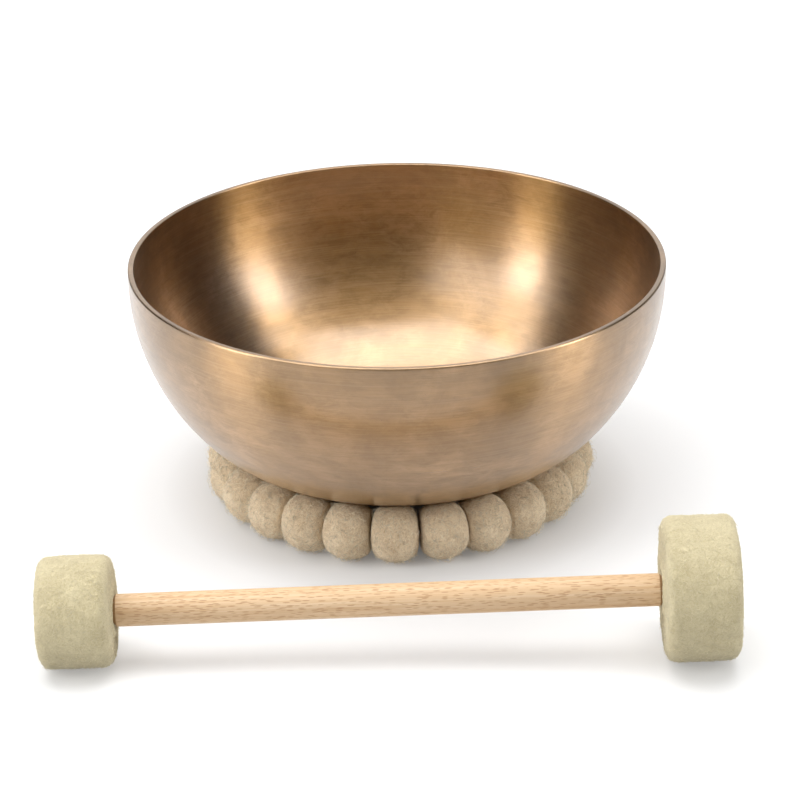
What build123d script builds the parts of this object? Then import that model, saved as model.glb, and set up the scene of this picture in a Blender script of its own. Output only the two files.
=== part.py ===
from build123d import *
import math
import os

# Singing bowl set, in millimetres, +Z up. A bronze bowl rests on a ring of wool felt balls strung on
# a cord, and a mallet with a felt head at each end of a beech stick lies on the ground in front of it.
# The origin is the middle of the underside of the whole set, on the ground.

# Bowl. Its outside is a flat foot, a tight lower arc and a wide upper arc, each tangent to the next.
rim_radius = 120.0
bowl_height = 92.6
foot_radius = 48.0
wall = 2.6
lower_arc_turn = 47.6
rim_slope = 92.7
outer_lip_round = 0.8
inner_lip_round = 0.4

# Ring of felt balls. Each ball is pressed flat against its two neighbours and against the ground.
ball_count = 24
ball_radius = 13.0
ball_squeeze = 6.3
ball_ground_flat = 0.5
ball_edge_round = 3.0
first_ball_angle = -91.7
cord_diameter = 1.6
cord_clearance = 0.1

# How the bowl sits on the ring: it dents the felt, and a small gap keeps the two apart.
felt_dent = 1.0
seat_gap = 0.3

# Mallet. The two heads rest on the ground, so the stick rises towards the larger one.
small_head_radius = 23.1
small_head_width = 30.0
large_head_radius = 29.8
large_head_width = 30.0
head_edge_round = 4.6
head_spacing = 255.0
stick_diameter = 13.5
shoulder_chamfer = 1.6
tenon_length = 20.0
glue_gap = 0.1

# Where the mallet's middle lies, seen from the bowl's axis.
mallet_sideways = -5.6
mallet_forward = -160.6

# Radii of the two arcs that join the foot to the lip at the given height and slopes.
turn = math.radians(lower_arc_turn)
slope = math.radians(rim_slope)
run = rim_radius - foot_radius
lower_run = math.sin(turn)
upper_run = math.sin(slope) - math.sin(turn)
lower_rise = 1 - math.cos(turn)
upper_rise = math.cos(turn) - math.cos(slope)
both = lower_run * upper_rise - upper_run * lower_rise
lower_radius = (run * upper_rise - bowl_height * upper_run) / both
upper_radius = (bowl_height * lower_run - run * lower_rise) / both
upper_centre_x = foot_radius + (lower_radius - upper_radius) * math.sin(turn)
upper_centre_z = lower_radius - (lower_radius - upper_radius) * math.cos(turn)
widest_radius = max(rim_radius, upper_centre_x + upper_radius)

# The ring closes on itself, so its radius follows from the number of balls and their pitch.
half_ball_angle = 180 / ball_count
ball_pitch = 2 * ball_radius - ball_squeeze
ring_radius = ball_pitch / 2 / math.sin(math.radians(half_ball_angle))
ball_height = ball_radius - ball_ground_flat

# The bowl's lower arc touches the balls, dented by felt_dent.
seat_distance = lower_radius + ball_radius - felt_dent
bowl_base_height = ball_height - lower_radius + math.sqrt(seat_distance**2 - (ring_radius - foot_radius) ** 2)

# The stick's lean makes both heads touch the ground.
radius_step = large_head_radius - small_head_radius
width_step = (large_head_width - small_head_width) / 2
mallet_lean = math.degrees(math.atan2(radius_step, head_spacing - width_step))


def head_reach(radius, width, degrees_from_axis):
    """Distance from a round-edged head's centre to its far side, in a direction off its axis."""
    angle = math.radians(degrees_from_axis)
    along = (width / 2 - head_edge_round) * math.cos(angle)
    across = (radius - head_edge_round) * math.sin(angle)
    return along + across + head_edge_round


small_head_height = head_reach(small_head_radius, small_head_width, 90 - mallet_lean)
mallet_height = small_head_height + head_spacing / 2 * math.sin(math.radians(mallet_lean))
half_span = head_spacing / 2 * math.cos(math.radians(mallet_lean))
mallet_left = mallet_sideways - half_span - head_reach(small_head_radius, small_head_width, mallet_lean)
mallet_right = mallet_sideways + half_span + head_reach(large_head_radius, large_head_width, mallet_lean)
mallet_front = mallet_forward - max(small_head_radius, large_head_radius)

# The bowl's axis, seen from the origin at the middle of the set.
bowl_x = -(min(mallet_left, -widest_radius) + max(mallet_right, widest_radius)) / 2
bowl_y = -(mallet_front + widest_radius) / 2
bowl_axis = Pos(bowl_x, bowl_y, 0)


def belly_arcs(grow):
    """The bowl's two outer arcs, from foot to lip, moved outwards by grow."""
    lower = CenterArc((foot_radius, lower_radius), lower_radius + grow, -90, lower_arc_turn)
    upper = CenterArc(
        (upper_centre_x, upper_centre_z), upper_radius + grow, lower_arc_turn - 90, rim_slope - lower_arc_turn
    )
    return lower, upper


def make_bowl():
    """The bowl's wall, turned about its axis, with the lip's two edges rounded."""
    outer_lower, outer_upper = belly_arcs(0)
    inner_lower, inner_upper = belly_arcs(-wall)
    outer_lip = outer_upper @ 1
    inner_lip = inner_upper @ 1
    outline = [
        Line((0, 0), (foot_radius, 0)),
        outer_lower,
        outer_upper,
        Line(outer_lip, inner_lip),
        inner_upper,
        inner_lower,
        Line((foot_radius, wall), (0, wall)),
        Line((0, wall), (0, 0)),
    ]
    section = make_face(outline)
    section = fillet(section.vertices().sort_by_distance(outer_lip)[0], outer_lip_round)
    section = fillet(section.vertices().sort_by_distance(inner_lip)[0], inner_lip_round)
    return Pos(0, 0, bowl_base_height) * revolve(Plane.XZ * section, Axis.Z)


def make_seat_shape():
    """The space that the bowl and its seat gap fill, up to the top of the lower arc."""
    lower, upper = belly_arcs(seat_gap)
    join = lower @ 1
    outline = [
        Line((0, -seat_gap), (foot_radius, -seat_gap)),
        lower,
        Line(join, (0, join.Y)),
        Line((0, join.Y), (0, -seat_gap)),
    ]
    return Pos(0, 0, bowl_base_height) * revolve(Plane.XZ * make_face(outline), Axis.Z)


def make_felt_ball():
    """One ball on the X axis: flat against its neighbours and the ground, dented by the bowl, bored for the cord."""
    reach = ring_radius + 2 * ball_radius
    side = reach * math.tan(math.radians(half_ball_angle))
    slice_outline = make_face(Polyline((0, 0), (reach, -side), (reach, side), close=True))
    slice_of_ring = extrude(slice_outline, 3 * ball_radius)
    ball = Pos(ring_radius, 0, ball_height) * Sphere(ball_radius) & slice_of_ring
    pressed_faces = ball.faces().filter_by(GeomType.PLANE).filter_by(Axis.Z, reverse=True)
    pressed_edges = [edge for face in pressed_faces for edge in face.edges()]
    ball = fillet(pressed_edges, ball_edge_round)
    cord_hole = Pos(0, 0, ball_height) * Torus(ring_radius, cord_diameter / 2 + cord_clearance)
    return ball - make_seat_shape() - cord_hole


def make_ring_cord():
    """The cord that threads the balls, as one closed loop."""
    return Pos(0, 0, ball_height) * Torus(ring_radius, cord_diameter / 2)


def along_mallet(distance):
    """A place on the mallet's leaning axis, with its local Z pointing from the small head to the large one."""
    middle = Pos(bowl_x + mallet_sideways, bowl_y + mallet_forward, mallet_height)
    return middle * Rot(0, 90 - mallet_lean, 0) * Pos(0, 0, distance)


tenon_diameter = stick_diameter - 2 * shoulder_chamfer
small_head_face = -head_spacing / 2 + small_head_width / 2
large_head_face = head_spacing / 2 - large_head_width / 2


def make_stick():
    """The beech stick: a dowel with chamfered shoulders and a thinner tenon at each end."""
    dowel_length = large_head_face - small_head_face
    dowel = Cylinder(stick_diameter / 2, dowel_length)
    dowel = chamfer(dowel.edges().filter_by(GeomType.CIRCLE), shoulder_chamfer)
    tenons = Cylinder(tenon_diameter / 2, dowel_length + 2 * tenon_length)
    return along_mallet((small_head_face + large_head_face) / 2) * (dowel + tenons)


def make_head(radius, width, centre, face):
    """A round-edged felt head with a blind hole for the stick's tenon, open at the face by the stick."""
    head = Cylinder(radius, width)
    head = fillet(head.edges().filter_by(GeomType.CIRCLE), head_edge_round)
    hole_depth = tenon_length + glue_gap
    hole = Cylinder(tenon_diameter / 2 + glue_gap, 2 * hole_depth)
    return along_mallet(centre) * head - along_mallet(face) * hole


def write_node(name, shape):
    shape.label = name
    export_step(shape, f"parts/{name}.step")


os.makedirs("parts", exist_ok=True)

write_node("bowl", bowl_axis * make_bowl())

felt_ball = make_felt_ball()
for index in range(ball_count):
    turned = Rot(0, 0, first_ball_angle + 2 * half_ball_angle * index)
    write_node(f"felt_ball_{index + 1:02d}", bowl_axis * turned * felt_ball)
write_node("ring_cord", bowl_axis * make_ring_cord())

write_node("mallet_stick", make_stick())
write_node("small_felt_head", make_head(small_head_radius, small_head_width, -head_spacing / 2, small_head_face))
write_node("large_felt_head", make_head(large_head_radius, large_head_width, head_spacing / 2, large_head_face))
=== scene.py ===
"""Looks of the singing bowl set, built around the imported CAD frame. Metres, +Z up."""

import math

import bpy
import numpy as np
from mathutils import Matrix, Vector


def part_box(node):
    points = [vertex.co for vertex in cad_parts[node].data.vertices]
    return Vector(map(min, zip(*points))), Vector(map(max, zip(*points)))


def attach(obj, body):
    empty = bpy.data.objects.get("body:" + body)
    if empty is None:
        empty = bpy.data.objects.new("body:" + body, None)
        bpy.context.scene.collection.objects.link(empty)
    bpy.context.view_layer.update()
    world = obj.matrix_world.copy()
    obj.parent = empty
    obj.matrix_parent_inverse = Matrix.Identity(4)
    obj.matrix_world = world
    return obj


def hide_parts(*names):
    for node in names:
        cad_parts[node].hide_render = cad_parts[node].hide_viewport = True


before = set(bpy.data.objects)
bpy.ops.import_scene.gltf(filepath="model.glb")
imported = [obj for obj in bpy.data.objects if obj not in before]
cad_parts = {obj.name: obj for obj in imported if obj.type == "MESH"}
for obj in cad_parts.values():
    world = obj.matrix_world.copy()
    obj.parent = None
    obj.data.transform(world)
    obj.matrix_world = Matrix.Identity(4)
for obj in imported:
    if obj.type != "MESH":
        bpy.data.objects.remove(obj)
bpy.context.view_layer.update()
MM = 0.001

# ---------------------------------------------------------------------------------------------
# Sizes and places, from the CAD frame where it has them
# ---------------------------------------------------------------------------------------------
bowl_low, bowl_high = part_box("bowl")
cord_low, cord_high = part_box("ring_cord")
AXIS = (bowl_low + bowl_high) / 2
BOWL_BASE = bowl_low.z
BOWL_HEIGHT = 92.6 * MM
RIM_RADIUS = 120.0 * MM
FOOT_RADIUS = 48.0 * MM
WALL = 2.6 * MM
LOWER_ARC_TURN = math.radians(47.6)
RIM_SLOPE = math.radians(92.7)
OUTER_LIP_ROUND = 0.8 * MM
INNER_LIP_ROUND = 0.4 * MM

BALL_NODES = sorted(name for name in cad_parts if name.startswith("felt_ball_"))
BALL_COUNT = len(BALL_NODES)
BALL_RADIUS = 13.0 * MM
CORD_RADIUS = (cord_high.z - cord_low.z) / 2
RING_RADIUS = (cord_high.x - cord_low.x) / 2 - CORD_RADIUS
BALL_HEIGHT = (cord_high.z + cord_low.z) / 2
HALF_BALL_ANGLE = math.pi / BALL_COUNT

SMALL_HEAD_RADIUS = 23.1 * MM
LARGE_HEAD_RADIUS = 29.8 * MM
HEAD_WIDTH = 30.0 * MM
HEAD_EDGE_ROUND = 4.6 * MM

STICK_RADIUS = 13.5 / 2 * MM


def node_middle(name):
    low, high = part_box(name)
    return (low + high) / 2


SMALL_HEAD = node_middle("small_felt_head")
LARGE_HEAD = node_middle("large_felt_head")
MALLET_DIRECTION = (LARGE_HEAD - SMALL_HEAD).normalized()
STICK_HALF = (LARGE_HEAD - SMALL_HEAD).length / 2 - HEAD_WIDTH / 2

# Mesh rows, and loose fibres
BOWL_TURNS = 288
BALL_ROWS = 56
BALL_TURNS = 76
HEAD_TURNS = 200
FIBRE_STEPS = 4
FIBRE_RADIUS = 0.12 * MM
FIBRE_ROOT_DEPTH = 0.10 * MM
BALL_FIBRES = 1000
BALL_FIBRE_LENGTH = 5.0 * MM
BALL_FIBRE_RISE = 1.7 * MM
HEAD_FIBRES = 2500
HEAD_FIBRE_LENGTH = 2.8 * MM
HEAD_FIBRE_RISE = 0.5 * MM

# Unevenness, in layers of noise: the height and the size of each layer's lumps, and its seed. A ball's
# heights and sizes are shares of its radius.
BOWL_WAVES = ((0.10 * MM, 34 * MM, 3), (0.05 * MM, 15 * MM, 8))
BALL_LUMPS = ((0.022, 0.8, 40), (0.010, 0.22, 90), (0.005, 0.09, 140))
HEAD_LUMPS = ((0.22 * MM, 9 * MM, 0), (0.12 * MM, 3 * MM, 1), (0.09 * MM, 1.1 * MM, 2))
BALL_PLACE_SEED = 500
BALL_FIBRE_SEED = 600
SMALL_HEAD_SEED = 301
LARGE_HEAD_SEED = 401

# How the pressed felt is shaped
BALL_SWELL = 1.01
BALL_SIDE_GAP = 0.03 * MM
BALL_SEAT_GAP = 0.25 * MM
HEAD_BULGE = 0.9 * MM
HEAD_BULGE_FROM_STICK = 2.2 * MM
HEAD_BULGE_WIDTH = 1.3 * MM

# Camera, seen from the bowl's axis on the ground. Angles are in degrees.
CAMERA_SIDEWAYS = 0.0023
CAMERA_BACK = 1.1739
CAMERA_HEIGHT = 0.5964
CAMERA_LENS = 127.7
CAMERA_PITCH = 25.32
CAMERA_YAW = -0.09
CAMERA_ROLL = -0.92

# Studio. Each panel has an azimuth, the elevations of its lower and upper edge and the azimuth that it
# spans, all in degrees, and then a radiance.
SKY_FRONT = 0.24
SKY_BACK = 0.5
SKY_TOP = 0.75
FLOOR_HALF_SIDE = 6.0
FLOOR_DROP = 0.2 * MM
PANEL_DISTANCE = 1.5
PANEL_AIM_HEIGHT = 0.08
PANELS = {
    "overhead": (-165, 62, 111, 62, 4.6),
    "behind": (180, 5, 38, 60, 1.0),
    "left_high": (-56, 24, 52, 58, 2.6),
    "left_top": (-108, 40, 60, 26, 2.7),
    "left_low": (-68, -2, 30, 17, 7.6),
    "right_high": (63, 22, 48, 19, 0.8),
    "right_top": (91, 40, 57, 15, 3.5),
    "right_low": (74, 0, 37, 14.5, 8.6),
}

# ---------------------------------------------------------------------------------------------
# Smooth noise for shapes
# ---------------------------------------------------------------------------------------------


def lattice(x, y, z, seed):
    """A repeatable value from -1 to 1 at each whole-number point."""
    mixed = (x * 73856093) ^ (y * 19349663) ^ (z * 83492791) ^ (seed * 2654435761)
    mixed = (mixed ^ (mixed >> 13)) * 1274126177 & 0xFFFFFFFF
    mixed = (mixed ^ (mixed >> 16)) & 0xFFFFFF
    return mixed / 0x7FFFFF - 1.0


def noise(points, size, seed):
    """Smooth noise from -1 to 1 whose lumps are about size across."""
    scaled = np.asarray(points) / size + 1000.0
    whole = np.floor(scaled).astype(np.int64)
    part = scaled - whole
    part = part * part * (3 - 2 * part)
    total = np.zeros(len(scaled))
    for corner in range(8):
        step = np.array([corner & 1, corner >> 1 & 1, corner >> 2 & 1])
        weight = np.prod(np.where(step == 1, part, 1 - part), axis=1)
        cell = whole + step
        total += weight * lattice(cell[:, 0], cell[:, 1], cell[:, 2], seed)
    return total


def layered_noise(points, layers, seed=0):
    """The sum of layers of noise, each with its height, its size and its own seed."""
    return sum(height * noise(points, size, seed + own_seed) for height, size, own_seed in layers)


# ---------------------------------------------------------------------------------------------
# Mesh building
# ---------------------------------------------------------------------------------------------


def new_piece(name, points, faces, material, body):
    """A smooth-shaded mesh piece that rides on a CAD body."""
    mesh = bpy.data.meshes.new(name)
    mesh.from_pydata([tuple(p) for p in points], [], faces)
    mesh.update()
    mesh.shade_smooth()
    mesh.materials.append(material)
    piece = bpy.data.objects.new(name, mesh)
    bpy.context.scene.collection.objects.link(piece)
    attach(piece, body)
    return piece


def paint_node(name, material):
    """Gives a CAD node that keeps its own mesh its material."""
    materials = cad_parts[name].data.materials
    materials.clear()
    materials.append(material)


def grid_faces(rows, columns):
    """Quads of a grid whose rows each close on themselves."""
    faces = []
    for row in range(rows - 1):
        below, above = row * columns, (row + 1) * columns
        for column in range(columns):
            following = (column + 1) % columns
            faces.append((below + column, below + following, above + following, above + column))
    return faces


def arc_points(centre, radius, start, end, count):
    """Points on an arc, with angles in radians from straight down, turning outwards."""
    angles = np.linspace(start, end, count)
    return np.stack([centre[0] + radius * np.sin(angles), centre[1] - radius * np.cos(angles)], 1)


# ---------------------------------------------------------------------------------------------
# Node materials
# ---------------------------------------------------------------------------------------------


class Shader:
    """Small helper that builds one material's node tree."""

    def __init__(self, name):
        self.material = bpy.data.materials.new(name)
        self.material.use_nodes = True
        self.tree = self.material.node_tree
        self.surface = self.tree.nodes["Principled BSDF"]

    def add(self, kind, **settings):
        node = self.tree.nodes.new("ShaderNode" + kind)
        for key, value in settings.items():
            setattr(node, key, value)
        return node

    def link(self, source, target):
        self.tree.links.new(source, target)

    def feed(self, node, inputs):
        """Sets or links a node's inputs, by name or by number."""
        for key, value in inputs.items():
            if isinstance(value, bpy.types.NodeSocket):
                self.link(value, node.inputs[key])
            else:
                node.inputs[key].default_value = value

    def math(self, operation, a, b=0.0):
        node = self.add("Math", operation=operation)
        self.feed(node, {0: a, 1: b})
        return node.outputs[0]

    def vector(self, operation, a, b=(0, 0, 0)):
        node = self.add("VectorMath", operation=operation)
        self.feed(node, {0: a, 1: b})
        return node.outputs["Value" if operation == "LENGTH" else "Vector"]

    def combine(self, x, y, z):
        node = self.add("CombineXYZ")
        self.feed(node, {0: x, 1: y, 2: z})
        return node.outputs[0]

    def split(self, vector):
        node = self.add("SeparateXYZ")
        self.link(vector, node.inputs[0])
        return node.outputs

    def noise(self, vector, scale, detail=2.0, roughness=0.5, distortion=0.0, w=None):
        """Noise that varies with place, and with w as well if it is given."""
        node = self.add("TexNoise", noise_dimensions="3D" if w is None else "4D")
        self.feed(node, {"Vector": vector, "Scale": scale, "Detail": detail})
        self.feed(node, {"Roughness": roughness, "Distortion": distortion})
        if w is not None:
            self.feed(node, {"W": w})
        return node.outputs["Fac"]

    def ramp(self, value, stops):
        """A colour ramp from (position, colour) pairs."""
        node = self.add("ValToRGB")
        elements = node.color_ramp.elements
        while len(elements) < len(stops):
            elements.new(0.5)
        for element, (position, colour) in zip(elements, stops):
            element.position = position
            element.color = (*colour, 1.0)
        self.link(value, node.inputs[0])
        return node.outputs[0]

    def remap(self, value, low, high, to_low=0.0, to_high=1.0):
        """Carries low..high over to to_low..to_high, and holds it there."""
        node = self.add("MapRange", clamp=True)
        self.feed(node, {0: value, 1: low, 2: high, 3: to_low, 4: to_high})
        return node.outputs[0]

    def mix(self, share, a, b):
        """Blends two colours, each a socket or three numbers."""
        node = self.add("Mix", data_type="RGBA")
        first, second = (part if isinstance(part, bpy.types.NodeSocket) else (*part, 1.0) for part in (a, b))
        self.feed(node, {0: share, 6: first, 7: second})
        return node.outputs[2]

    def bump(self, height, distance, strength=1.0, under=None):
        node = self.add("Bump")
        self.feed(node, {"Height": height, "Distance": distance, "Strength": strength})
        if under is not None:
            self.link(under, node.inputs["Normal"])
        return node.outputs[0]

    def finish(self, **inputs):
        """Feeds the surface shader, whose inputs are named with underscores for spaces."""
        self.feed(self.surface, {key.replace("_", " "): value for key, value in inputs.items()})
        return self.material


def bronze():
    """Brushed bronze: scratches round the bowl, cloudy patina, paler rubbed patches and dark specks."""
    dark_patina, patina, pale_patina = (0.278, 0.151, 0.046), (0.370, 0.208, 0.077), (0.463, 0.271, 0.117)
    smudged, rubbed = (0.258, 0.146, 0.049), (0.54, 0.336, 0.160)
    scratched, speck = (0.24, 0.135, 0.048), (0.13, 0.075, 0.04)
    s = Shader("bowl_bronze")
    place = s.vector("SUBTRACT", s.add("TexCoord").outputs["Object"], (AXIS.x, AXIS.y, BOWL_BASE))
    x, y, z = s.split(place)
    radius = s.math("SQRT", s.math("ADD", s.math("MULTIPLY", x, x), s.math("MULTIPLY", y, y)))
    safe = s.math("MAXIMUM", radius, 0.001)
    cosine, sine = s.math("DIVIDE", x, safe), s.math("DIVIDE", y, safe)

    def brushing(length, width, detail):
        """Streaks that run round the bowl. Length is a share of the radius, and width is in metres."""
        around = s.combine(cosine, sine, s.math("MULTIPLY", radius, length / width))
        return s.noise(around, 1 / length, detail=detail, roughness=0.7, w=s.math("DIVIDE", z, width))

    scratch = brushing(0.16, 0.8 * MM, 3.0)
    streak = brushing(0.35, 2.2 * MM, 3.0)
    clouds = s.noise(place, 24.0, detail=6.0, roughness=0.65, distortion=0.8)
    flattened = s.vector("MULTIPLY", place, (1, 1, 2.2))
    smudges = s.noise(flattened, 85.0, detail=6.0, roughness=0.7, distortion=0.5)
    specks = s.noise(place, 900.0, detail=1.0)
    base = s.ramp(clouds, [(0.32, dark_patina), (0.50, patina), (0.68, pale_patina)])
    base = s.mix(s.remap(smudges, 0.44, 0.62, 0.0, 0.75), base, smudged)
    base = s.mix(s.remap(streak, 0.45, 0.70, 0.0, 0.30), base, rubbed)
    base = s.mix(s.remap(scratch, 0.48, 0.68, 0.0, 0.70), base, scratched)
    base = s.mix(s.remap(specks, 0.77, 0.82, 0.0, 0.45), base, speck)
    rough = s.math("ADD", s.remap(clouds, 0.3, 0.7, 0.38, 0.31), s.remap(streak, 0.3, 0.7, -0.05, 0.05))
    tangent = s.add("Tangent", direction_type="RADIAL", axis="Z")
    normal = s.bump(scratch, 0.04 * MM, 0.5, under=s.bump(smudges, 0.4 * MM, 0.12))
    return s.finish(
        Base_Color=base,
        Metallic=1.0,
        Roughness=rough,
        Anisotropic=0.92,
        Anisotropic_Rotation=0.25,
        Tangent=tangent.outputs[0],
        Normal=normal,
        Coat_Weight=1.0,
        Coat_Roughness=0.26,
        Coat_IOR=1.8,
    )


def felt(name, light, dark, scale, ground_shade):
    """Pressed wool: a mottled tangle of curled fibres in two sizes, with painted shade that darkens it in
    patches towards the ground, as much as ground_shade asks.
    Scale is the number of curls in a metre."""
    s = Shader(name)
    place = s.add("TexCoord").outputs["Object"]
    warp = s.add("TexNoise")
    s.feed(warp, {"Vector": place, "Scale": scale * 0.4, "Detail": 2.0})
    bent = s.vector("ADD", place, s.vector("MULTIPLY", warp.outputs["Color"], (0.005, 0.005, 0.005)))
    curls = s.noise(bent, scale, detail=3.0, roughness=0.6, distortion=1.2)
    ridges = s.remap(s.math("ABSOLUTE", s.math("SUBTRACT", curls, 0.5)), 0.0, 0.12, 1.0, 0.0)
    fine = s.noise(bent, scale * 2.3, detail=2.0, roughness=0.6, distortion=2.0)
    threads = s.remap(s.math("ABSOLUTE", s.math("SUBTRACT", fine, 0.5)), 0.0, 0.10, 1.0, 0.0)
    tone = s.noise(place, scale * 0.16, detail=3.0)
    shade = s.math("ADD", s.math("MULTIPLY", ridges, 0.45), s.math("MULTIPLY", threads, 0.30))
    shade = s.math("ADD", shade, s.remap(tone, 0.3, 0.7, -0.05, 0.30))
    base = s.mix(shade, dark, light)
    # Painted shade: the felt darkens in patches towards the ground, where the heads are shaded.
    near_ground = s.remap(s.split(place)[2], 1.0 * MM, 20.0 * MM, ground_shade, 0.0)
    patches = s.remap(s.noise(place, scale * 0.5, detail=3.0), 0.35, 0.60, 0.5, 1.0)
    painted_shade_tone = tuple(0.55 * part for part in dark)
    base = s.mix(s.math("MULTIPLY", near_ground, patches), base, painted_shade_tone)
    height = s.math("ADD", ridges, s.math("MULTIPLY", threads, 0.5))
    return s.finish(
        Base_Color=base,
        Roughness=0.95,
        Sheen_Weight=0.2,
        Sheen_Roughness=0.5,
        Specular_IOR_Level=0.1,
        Normal=s.bump(height, 0.3 * MM, 0.7, under=s.bump(tone, 1.0 * MM, 0.6)),
    )


def loose_wool(name, tone, darkest):
    """Single wool fibres. Some are darker than tone, down to its darkest share."""
    s = Shader(name)
    shade = s.noise(s.add("TexCoord").outputs["Object"], 450.0, detail=2.0)
    dark = tuple(darkest * part for part in tone)
    base = s.mix(s.remap(shade, 0.40, 0.62), dark, tone)
    return s.finish(Base_Color=base, Roughness=0.8, Specular_IOR_Level=0.2, Sheen_Weight=0.2)


def beech():
    """Sanded beech: pale straight grain along the stick, short dark flecks, and darker end grain."""
    late_wood, wood, early_wood = (0.53, 0.345, 0.190), (0.615, 0.435, 0.265), (0.69, 0.525, 0.355)
    pore, ray_fleck, end_grain = (0.51, 0.295, 0.145), (0.36, 0.185, 0.080), (0.40, 0.235, 0.12)
    s = Shader("mallet_beech")
    mapping = s.add("Mapping", vector_type="TEXTURE")
    turn = MALLET_DIRECTION.to_track_quat("Z", "Y").to_euler()
    middle = (SMALL_HEAD + LARGE_HEAD) / 2
    s.feed(mapping, {"Vector": s.add("TexCoord").outputs["Object"]})
    s.feed(mapping, {"Location": tuple(middle), "Rotation": turn})
    place = mapping.outputs[0]
    grain = s.noise(s.vector("MULTIPLY", place, (520, 520, 7)), 1.0, detail=5.0, roughness=0.65)
    pores = s.noise(s.vector("MULTIPLY", place, (2600, 2600, 60)), 1.0, detail=2.0, roughness=0.6)
    cells = s.add("TexVoronoi", feature="F1")
    stretched = s.vector("MULTIPLY", place, (1700, 1700, 210))
    s.feed(cells, {"Vector": stretched, "Scale": 1.0, "Randomness": 1.0})
    fleck = s.remap(cells.outputs["Distance"], 0.26, 0.38, 1.0, 0.0)
    base = s.ramp(grain, [(0.32, late_wood), (0.50, wood), (0.70, early_wood)])
    base = s.mix(s.remap(pores, 0.48, 0.70, 0.0, 0.45), base, pore)
    base = s.mix(s.math("MULTIPLY", fleck, 0.65), base, ray_fleck)
    from_middle = s.math("ABSOLUTE", s.split(place)[2])
    shoulder = s.remap(from_middle, STICK_HALF - 1.7 * MM, STICK_HALF - 1.4 * MM)
    base = s.mix(s.math("MULTIPLY", shoulder, 0.75), base, end_grain)
    normal = s.bump(grain, 0.08 * MM, 0.5, under=s.bump(fleck, -0.1 * MM, 0.6))
    return s.finish(Base_Color=base, Roughness=0.5, Specular_IOR_Level=0.18, Normal=normal)


def cord_fibre():
    """Natural twisted cord, whose strands wind round it."""
    pale, shaded, frayed = (0.72, 0.66, 0.55), (0.46, 0.39, 0.29), (0.80, 0.76, 0.66)
    s = Shader("ring_cord")
    place = s.vector("SUBTRACT", s.add("TexCoord").outputs["Object"], (AXIS.x, AXIS.y, BALL_HEIGHT))
    x, y, z = s.split(place)
    along = s.math("MULTIPLY", s.math("ARCTAN2", y, x), 240.0)
    strand = s.math("SINE", s.math("ADD", along, s.math("MULTIPLY", z, 3000.0)))
    fray = s.noise(place, 2500.0, detail=3.0)
    base = s.mix(s.remap(strand, -1.0, 1.0, 0.0, 0.6), pale, shaded)
    base = s.mix(s.remap(fray, 0.4, 0.7, 0.0, 0.4), base, frayed)
    return s.finish(Base_Color=base, Roughness=0.9, Normal=s.bump(strand, 0.2 * MM, 0.8))


# ---------------------------------------------------------------------------------------------
# Bowl
# ---------------------------------------------------------------------------------------------


def belly():
    """Radii and centres of the bowl's two outer arcs, in its own upright plane with the foot at zero."""
    run = RIM_RADIUS - FOOT_RADIUS
    sin_turn, cos_turn = math.sin(LOWER_ARC_TURN), math.cos(LOWER_ARC_TURN)
    upper_run = math.sin(RIM_SLOPE) - sin_turn
    upper_rise = cos_turn - math.cos(RIM_SLOPE)
    both = sin_turn * upper_rise - upper_run * (1 - cos_turn)
    lower = (run * upper_rise - BOWL_HEIGHT * upper_run) / both
    upper = (BOWL_HEIGHT * sin_turn - run * (1 - cos_turn)) / both
    lower_centre = (FOOT_RADIUS, lower)
    upper_centre = (FOOT_RADIUS + (lower - upper) * sin_turn, lower - (lower - upper) * cos_turn)
    return lower, lower_centre, upper, upper_centre


def bowl_profile():
    """Outline of the wall from the middle of the foot, up the outside, over the lip and down inside."""
    flat_rows, lower_rows, upper_rows, lip_rows = 12, 40, 60, 7
    lower, lower_centre, upper, upper_centre = belly()
    outer_end = RIM_SLOPE - OUTER_LIP_ROUND / upper
    inner_end = RIM_SLOPE - INNER_LIP_ROUND / upper
    outside = [
        arc_points(lower_centre, lower, 0, LOWER_ARC_TURN, lower_rows),
        arc_points(upper_centre, upper, LOWER_ARC_TURN, outer_end, upper_rows)[1:],
    ]
    inside = [
        arc_points(upper_centre, upper - WALL, inner_end, LOWER_ARC_TURN, upper_rows),
        arc_points(lower_centre, lower - WALL, LOWER_ARC_TURN, 0, lower_rows)[1:],
    ]
    outward = np.array([math.sin(RIM_SLOPE), -math.cos(RIM_SLOPE)])
    upward = np.array([math.cos(RIM_SLOPE), math.sin(RIM_SLOPE)])
    lip = np.array(upper_centre) + upper * outward
    corners = []
    for size, corner, side in ((OUTER_LIP_ROUND, lip, 1), (INNER_LIP_ROUND, lip - WALL * outward, -1)):
        centre = corner - side * size * outward - size * upward
        sweep = np.linspace(0, math.pi / 2, lip_rows)[::side, None]
        corners.append(centre + size * (side * np.cos(sweep) * outward + np.sin(sweep) * upward))
    flat = np.linspace(0.0, FOOT_RADIUS, flat_rows + 2)[1:-1]
    foot = np.stack([flat, np.zeros(flat_rows)], 1)
    floor = np.stack([flat[::-1], np.full(flat_rows, WALL)], 1)
    return np.concatenate([foot, *outside, corners[0][1:], corners[1][:-1], *inside, floor])


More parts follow.
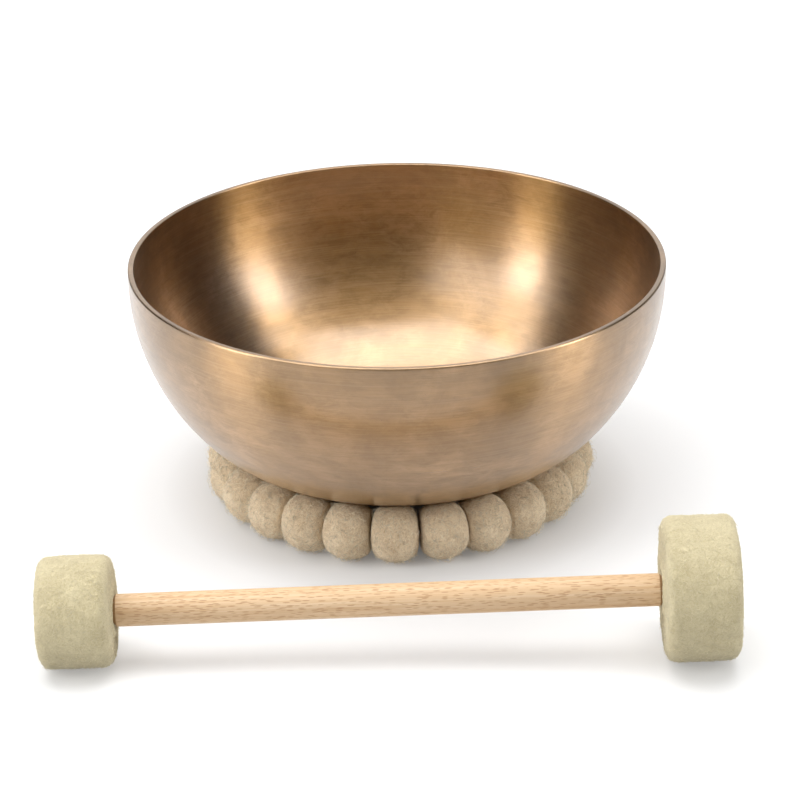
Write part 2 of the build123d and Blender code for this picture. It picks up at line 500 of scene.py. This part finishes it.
def make_bowl():
    """The bowl as one closed turned wall, with the slight unevenness of a hand-finished casting."""
    profile = bowl_profile()
    angles = np.linspace(0, 2 * math.pi, BOWL_TURNS, endpoint=False)
    ring = np.stack([np.cos(angles), np.sin(angles)], 1)
    points = np.concatenate([np.column_stack([r * ring, np.full(BOWL_TURNS, z)]) for r, z in profile])
    faces = grid_faces(len(profile), BOWL_TURNS)
    under, inside = len(points), len(points) + 1
    last_row = (len(profile) - 1) * BOWL_TURNS
    for column in range(BOWL_TURNS):
        following = (column + 1) % BOWL_TURNS
        faces.append((under, following, column))
        faces.append((inside, last_row + column, last_row + following))
    points = np.concatenate([points, [[0, 0, 0], [0, 0, WALL]]])

    # The waves fade out towards the lip and the middle of the foot.
    below_lip = np.clip((BOWL_HEIGHT - points[:, 2]) / (12 * MM), 0, 1)
    past_foot = np.clip((np.hypot(points[:, 0], points[:, 1]) - 30 * MM) / (20 * MM), 0, 1)
    wave = layered_noise(points, BOWL_WAVES) * below_lip * past_foot
    from_centre = np.maximum(np.linalg.norm(points - [0, 0, BOWL_HEIGHT], axis=1), 1e-6)
    points[:, :2] += points[:, :2] * (wave / from_centre)[:, None]
    points += [AXIS.x, AXIS.y, BOWL_BASE]
    piece = new_piece("bronze_bowl", points, faces, bronze(), "bowl")
    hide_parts("bowl")


# ---------------------------------------------------------------------------------------------
# Loose wool fibres
# ---------------------------------------------------------------------------------------------


def unit(vectors):
    """The vectors at a length of one."""
    return vectors / np.linalg.norm(vectors, axis=1)[:, None]


def fibres(roots, ups, length, rise, seed):
    """Curled wool fibres that start just under a felt surface, as thin closed tubes.
    Gives an array with one row of points per fibre: three per step, then the tip."""
    rng = np.random.default_rng(seed)
    count = len(roots)
    lean = rng.normal(size=(count, 3))
    lean = unit(lean - ups * np.sum(lean * ups, axis=1)[:, None])
    across = np.cross(ups, lean)
    reach = length * rng.uniform(0.35, 1.0, count)[:, None]
    height = rise * rng.uniform(0.1, 1.0, count)[:, None] ** 2
    curl = rng.uniform(-1.0, 1.0, count)[:, None]
    thickness = FIBRE_RADIUS * rng.uniform(0.6, 1.0, count)[:, None]
    points = []
    for step in range(FIBRE_STEPS + 1):
        share = step / FIBRE_STEPS
        middle = roots + lean * reach * math.sin(1.6 * share) * 0.8 + across * reach * curl * share**2
        middle = middle + ups * (height * math.sin(2.4 * share) - FIBRE_ROOT_DEPTH * (1 - share))
        if step == FIBRE_STEPS:
            points.append(middle)
            break
        for corner in range(3):
            angle = 2 * math.pi * corner / 3
            side = math.cos(angle) * ups + math.sin(angle) * across
            points.append(middle + thickness * (1 - 0.6 * share) * side)
    return np.stack(points, axis=1)


def add_loose_wool(piece, felt_faces, material):
    """Gives the faces after the first felt_faces, which are loose fibres, their own paler wool."""
    piece.data.materials.append(material)
    numbers = np.zeros(len(piece.data.polygons), dtype=np.int32)
    numbers[felt_faces:] = 1
    piece.data.polygons.foreach_set("material_index", numbers)


def fibre_faces(count, first):
    """Faces of count fibres, whose points start at number first."""
    tip = 3 * FIBRE_STEPS
    pattern = [(2, 1, 0)]
    for corner in range(3):
        following = (corner + 1) % 3
        for step in range(FIBRE_STEPS - 1):
            below, above = 3 * step, 3 * step + 3
            pattern.append((below + corner, below + following, above + following, above + corner))
        pattern.append((tip - 3 + corner, tip - 3 + following, tip))
    starts = [first + fibre * (tip + 1) for fibre in range(count)]
    return [tuple(start + number for number in face) for start in starts for face in pattern]


# ---------------------------------------------------------------------------------------------
# Felt balls
# ---------------------------------------------------------------------------------------------


def soft_limit(value, limit, sharpness):
    """Holds a distance under a limit, with a rounded knee that is tighter where sharpness is higher."""
    share = np.abs(value) / limit
    return value / (1 + share**sharpness) ** (1 / sharpness)


def half_slice(points):
    """How far a ball may reach towards its neighbours, at points along, out and up from its centre."""
    return (RING_RADIUS + points[..., 1]) * math.tan(HALF_BALL_ANGLE)


def from_belly(points):
    """Direction away from the bowl's lower arc, and the distance from its centre line."""
    lower, lower_centre, _, _ = belly()
    centre = np.array([lower_centre[0] - RING_RADIUS, lower_centre[1] + BOWL_BASE - BALL_HEIGHT])
    away = points[..., 1:] - centre
    return away, np.linalg.norm(away, axis=-1)


def ball_surface(directions, number):
    """Points of one ball, given as along, out and up from its centre, pressed by what it touches."""
    beside, below = 12, 24
    lumps = 1 + layered_noise(directions, BALL_LUMPS, number)
    points = directions * (BALL_RADIUS * BALL_SWELL * lumps)[:, None]
    half = half_slice(points) - BALL_SIDE_GAP
    points[:, 0] = soft_limit(points[:, 0], half, beside) * half / soft_limit(BALL_RADIUS, half, beside)
    resting = soft_limit(points[:, 2], BALL_HEIGHT, below)
    points[:, 2] = np.where(points[:, 2] < 0, resting, points[:, 2])
    away, distance = from_belly(points)
    push = np.maximum(belly()[0] + BALL_SEAT_GAP - distance, 0)
    points[:, 1:] += away / distance[:, None] * push[:, None]
    return points


def free_fibres(strands):
    """Which fibres of a ball stay clear of its neighbours, the ground and the bowl."""
    beside = np.abs(strands[..., 0]) < half_slice(strands) - BALL_SIDE_GAP - 0.02 * MM
    above = strands[..., 2] > 0.1 * MM - BALL_HEIGHT
    outside = from_belly(strands)[1] > belly()[0] + BALL_SEAT_GAP + 0.1 * MM
    return np.all(beside & above & outside, axis=1)


def make_ball(number, node, material, loose):
    """One felt ball of the ring, with its loose fibres."""
    turn = np.tile(np.linspace(0, 2 * math.pi, BALL_TURNS, endpoint=False), BALL_ROWS)
    tilt = np.repeat(np.linspace(0, math.pi, BALL_ROWS + 2)[1:-1], BALL_TURNS)
    directions = np.stack([np.cos(tilt), np.sin(tilt) * np.cos(turn), np.sin(tilt) * np.sin(turn)], 1)
    directions = np.concatenate([directions, [[1, 0, 0], [-1, 0, 0]]])
    surface = ball_surface(directions, number)
    faces = [tuple(reversed(face)) for face in grid_faces(BALL_ROWS, BALL_TURNS)]
    first_pole, last_pole = len(surface) - 2, len(surface) - 1
    last_row = (BALL_ROWS - 1) * BALL_TURNS
    for column in range(BALL_TURNS):
        following = (column + 1) % BALL_TURNS
        faces.append((first_pole, column, following))
        faces.append((last_pole, last_row + following, last_row + column))

    ups = unit(np.random.default_rng(BALL_PLACE_SEED + number).normal(size=(BALL_FIBRES, 3)))
    roots = ball_surface(ups, number)
    strands = fibres(roots, ups, BALL_FIBRE_LENGTH, BALL_FIBRE_RISE, BALL_FIBRE_SEED + number)
    strands = strands[free_fibres(strands)]
    felt_faces = len(faces)
    faces += fibre_faces(len(strands), len(surface))
    points = np.concatenate([surface, strands.reshape(-1, 3)])

    middle = node_middle(node) - AXIS
    out = np.array([*Vector((middle.x, middle.y)).normalized(), 0])
    side = np.array([-out[1], out[0], 0])
    centre = np.array([AXIS.x, AXIS.y, BALL_HEIGHT]) + RING_RADIUS * out
    world = centre + points @ np.array([side, out, [0, 0, 1]])
    piece = new_piece(f"wool_ball_{number:02d}", world, faces, material, "felt_ring")
    add_loose_wool(piece, felt_faces, loose)
    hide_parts(node)


# ---------------------------------------------------------------------------------------------
# Mallet
# ---------------------------------------------------------------------------------------------


def head_outline(radius):
    """Places along the axis and radii of a head's outline, from one face's middle to the other's."""
    face_rows, bend_rows, side_rows, innermost = 39, 12, 38, 0.4 * MM
    half, flat = HEAD_WIDTH / 2, radius - HEAD_EDGE_ROUND
    bend = np.linspace(0, math.pi / 2, bend_rows)
    corner_along = half - HEAD_EDGE_ROUND * (1 - np.cos(bend))
    corner_radius = flat + HEAD_EDGE_ROUND * np.sin(bend)
    face = np.linspace(innermost, flat, face_rows + 1)[:-1]
    face_along = np.full(face_rows, half)
    side_along = np.linspace(-1, 1, side_rows + 2)[1:-1] * (half - HEAD_EDGE_ROUND)
    side = np.full(side_rows, radius)
    along = np.concatenate([-face_along, -corner_along, side_along, corner_along[::-1], face_along])
    radii = np.concatenate([face, corner_radius, side, corner_radius[::-1], face[::-1]])
    return along, radii


def make_head(name, node, middle, radius, inner, seed, material, loose):
    """A pressed-felt head on the mallet's axis, lumpy, a little fuzzy, and swollen round its stick.
    Inner is the side that its stick is on, 1 or -1."""
    along, radii = head_outline(radius)
    angles = np.tile(np.linspace(0, 2 * math.pi, HEAD_TURNS, endpoint=False), len(along))
    spread = np.repeat(radii, HEAD_TURNS)
    surface = np.stack([spread * np.cos(angles), spread * np.sin(angles), np.repeat(along, HEAD_TURNS)], 1)
    faces = grid_faces(len(along), HEAD_TURNS)
    faces.append(tuple(reversed(range(HEAD_TURNS))))
    faces.append(tuple((len(along) - 1) * HEAD_TURNS + column for column in range(HEAD_TURNS)))

    near_face = np.clip((np.abs(surface[:, 2]) - HEAD_WIDTH / 2 + HEAD_EDGE_ROUND) / HEAD_EDGE_ROUND, 0, 1)
    near_side = np.clip((spread - radius + HEAD_EDGE_ROUND) / HEAD_EDGE_ROUND, 0, 1)
    sideways = surface * [1, 1, 0] / spread[:, None] * near_side[:, None]
    endways = np.sign(surface * [0, 0, 1]) * near_face[:, None]
    ups = unit(sideways + endways)
    from_bulge = (spread - STICK_RADIUS - HEAD_BULGE_FROM_STICK) / HEAD_BULGE_WIDTH
    bulge = HEAD_BULGE * np.exp(-(from_bulge**2)) * (surface[:, 2] * inner > 0)
    surface = surface + ups * (layered_noise(surface, HEAD_LUMPS, seed) + bulge)[:, None]

    rng = np.random.default_rng(seed + 3)
    chosen = rng.choice(len(surface), HEAD_FIBRES, p=spread / spread.sum())
    strands = fibres(surface[chosen], ups[chosen], HEAD_FIBRE_LENGTH, HEAD_FIBRE_RISE, seed + 4)
    turn = np.array(MALLET_DIRECTION.to_track_quat("Z", "Y").to_matrix())
    surface = surface @ turn.T + np.array(middle)
    surface[:, 2] = np.maximum(surface[:, 2], 0.0)
    strands = strands @ turn.T + np.array(middle)
    strands = strands[np.all(strands[..., 2] > 0.1 * MM, axis=1)]
    felt_faces = len(faces)
    faces += fibre_faces(len(strands), len(surface))
    points = np.concatenate([surface, strands.reshape(-1, 3)])
    piece = new_piece(name, points, faces, material, "mallet")
    add_loose_wool(piece, felt_faces, loose)
    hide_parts(node)


# ---------------------------------------------------------------------------------------------
# Camera, floor and light
# ---------------------------------------------------------------------------------------------


def make_camera():
    """A long lens that looks down at the set from the front."""
    data = bpy.data.cameras.new("camera")
    data.sensor_width = 36.0
    data.lens = CAMERA_LENS
    camera = bpy.data.objects.new("camera", data)
    camera.location = (AXIS.x + CAMERA_SIDEWAYS, AXIS.y - CAMERA_BACK, CAMERA_HEIGHT)
    pitch, yaw, roll = (math.radians(angle) for angle in (CAMERA_PITCH, CAMERA_YAW, CAMERA_ROLL))
    ahead = Vector((math.sin(yaw), math.cos(yaw), 0))
    forward = ahead * math.cos(pitch) - Vector((0, 0, math.sin(pitch)))
    level = Vector((math.cos(yaw), -math.sin(yaw), 0))
    upright = level.cross(forward)
    right = level * math.cos(roll) + upright * math.sin(roll)
    up = upright * math.cos(roll) - level * math.sin(roll)
    turn = Matrix((right, up, -forward)).transposed()
    camera.rotation_euler = turn.to_euler()
    bpy.context.scene.collection.objects.link(camera)
    bpy.context.scene.camera = camera


def make_floor():
    """A pale floor with painted light: it glows a little so that it stays near white, and the glow fades out
    towards the bowl, which paints shade under and round it.
    """
    s = Shader("pale_floor")
    from_bowl = s.vector("SUBTRACT", s.add("TexCoord").outputs["Object"], (AXIS.x, AXIS.y, 0))
    # Painted light and shade: the glow is zero under the bowl and rises to its full strength away from it.
    glow = s.remap(s.vector("LENGTH", from_bowl), 0.05, 0.11, 0.0, 0.30)
    material = s.finish(
        Base_Color=(0.56, 0.56, 0.56, 1.0),
        Roughness=0.8,
        Emission_Color=(1.0, 1.0, 1.0, 1.0),
        Emission_Strength=glow,
    )
    signs = ((-1, -1), (1, -1), (1, 1), (-1, 1))
    corners = [(x * FLOOR_HALF_SIDE, y * FLOOR_HALF_SIDE, 0) for x, y in signs]
    mesh = bpy.data.meshes.new("floor")
    mesh.from_pydata(corners, [], [(0, 1, 2, 3)])
    mesh.materials.append(material)
    floor = bpy.data.objects.new("floor", mesh)
    floor.location.z = -FLOOR_DROP
    bpy.context.scene.collection.objects.link(floor)


def make_softbox(name, azimuth, low, high, width, radiance):
    """A glowing panel that faces the bowl. Azimuth is seen from the front, positive to the right."""
    light = bpy.data.lights.new(name, "AREA")
    light.shape = "RECTANGLE"
    middle, half = math.radians((low + high) / 2), math.radians((high - low) / 2)
    light.size = 2 * PANEL_DISTANCE * math.tan(math.radians(width / 2))
    light.size_y = 2 * PANEL_DISTANCE * math.tan(half)
    light.energy = radiance * math.pi * light.size * light.size_y
    lamp = bpy.data.objects.new(name, light)
    turn = math.radians(azimuth)
    aim = Vector((AXIS.x, AXIS.y, PANEL_AIM_HEIGHT))
    level = Vector((math.sin(turn), -math.cos(turn), 0))
    away = level * math.cos(middle) + Vector((0, 0, math.sin(middle)))
    lamp.location = aim + PANEL_DISTANCE * away
    lamp.rotation_euler = (-away).to_track_quat("-Z", "Y").to_euler()
    lamp.visible_camera = False
    bpy.context.scene.collection.objects.link(lamp)


def make_sky():
    """Dim surroundings: darkest in front, where the studio is open, and paler behind and overhead."""
    world = bpy.data.worlds.new("studio")
    world.use_nodes = True
    tree = world.node_tree
    coordinates = tree.nodes.new("ShaderNodeTexCoord")
    split = tree.nodes.new("ShaderNodeSeparateXYZ")
    tree.links.new(coordinates.outputs["Generated"], split.inputs[0])
    total = tree.nodes.new("ShaderNodeMath")
    total.operation = "ADD"
    backwards, upwards = (-0.9, 0.6, SKY_FRONT, SKY_BACK), (0.15, 0.85, 0.0, SKY_TOP)
    for term, (direction, levels) in enumerate(((split.outputs[1], backwards), (split.outputs[2], upwards))):
        smooth = tree.nodes.new("ShaderNodeMapRange")
        smooth.interpolation_type = "SMOOTHSTEP"
        for number, level in enumerate(levels, 1):
            smooth.inputs[number].default_value = level
        tree.links.new(direction, smooth.inputs[0])
        tree.links.new(smooth.outputs[0], total.inputs[term])
    tree.links.new(total.outputs[0], tree.nodes["Background"].inputs["Strength"])
    bpy.context.scene.world = world


def make_light():
    make_sky()
    for name, panel in PANELS.items():
        make_softbox(name, *panel)


# ---------------------------------------------------------------------------------------------
# The set
# ---------------------------------------------------------------------------------------------
make_camera()
make_floor()
make_light()
make_bowl()

ring_wool = felt("ring_felt", light=(1.0, 0.845, 0.61), dark=(0.54, 0.385, 0.226), scale=620.0, ground_shade=0.0)
loose_ring_wool = loose_wool("loose_ring_wool", tone=(1.0, 0.89, 0.68), darkest=0.55)
for number, node in enumerate(BALL_NODES, 1):
    make_ball(number, node, ring_wool, loose_ring_wool)
paint_node("ring_cord", cord_fibre())

head_light, head_dark = (0.70, 0.62, 0.405), (0.48, 0.405, 0.235)
# The heads get painted shade towards the ground; the ring's balls get none.
mallet_wool = felt("mallet_felt", light=head_light, dark=head_dark, scale=600.0, ground_shade=0.65)
loose_mallet_wool = loose_wool("loose_mallet_wool", tone=(0.77, 0.69, 0.48), darkest=0.7)
wools = (mallet_wool, loose_mallet_wool)
for size, middle, radius, inner, seed in (
    ("small", SMALL_HEAD, SMALL_HEAD_RADIUS, 1, SMALL_HEAD_SEED),
    ("large", LARGE_HEAD, LARGE_HEAD_RADIUS, -1, LARGE_HEAD_SEED),
):
    make_head(f"{size}_wool_head", f"{size}_felt_head", middle, radius, inner, seed, *wools)
paint_node("mallet_stick", beech())

bpy.context.scene.view_settings.view_transform = "Standard"
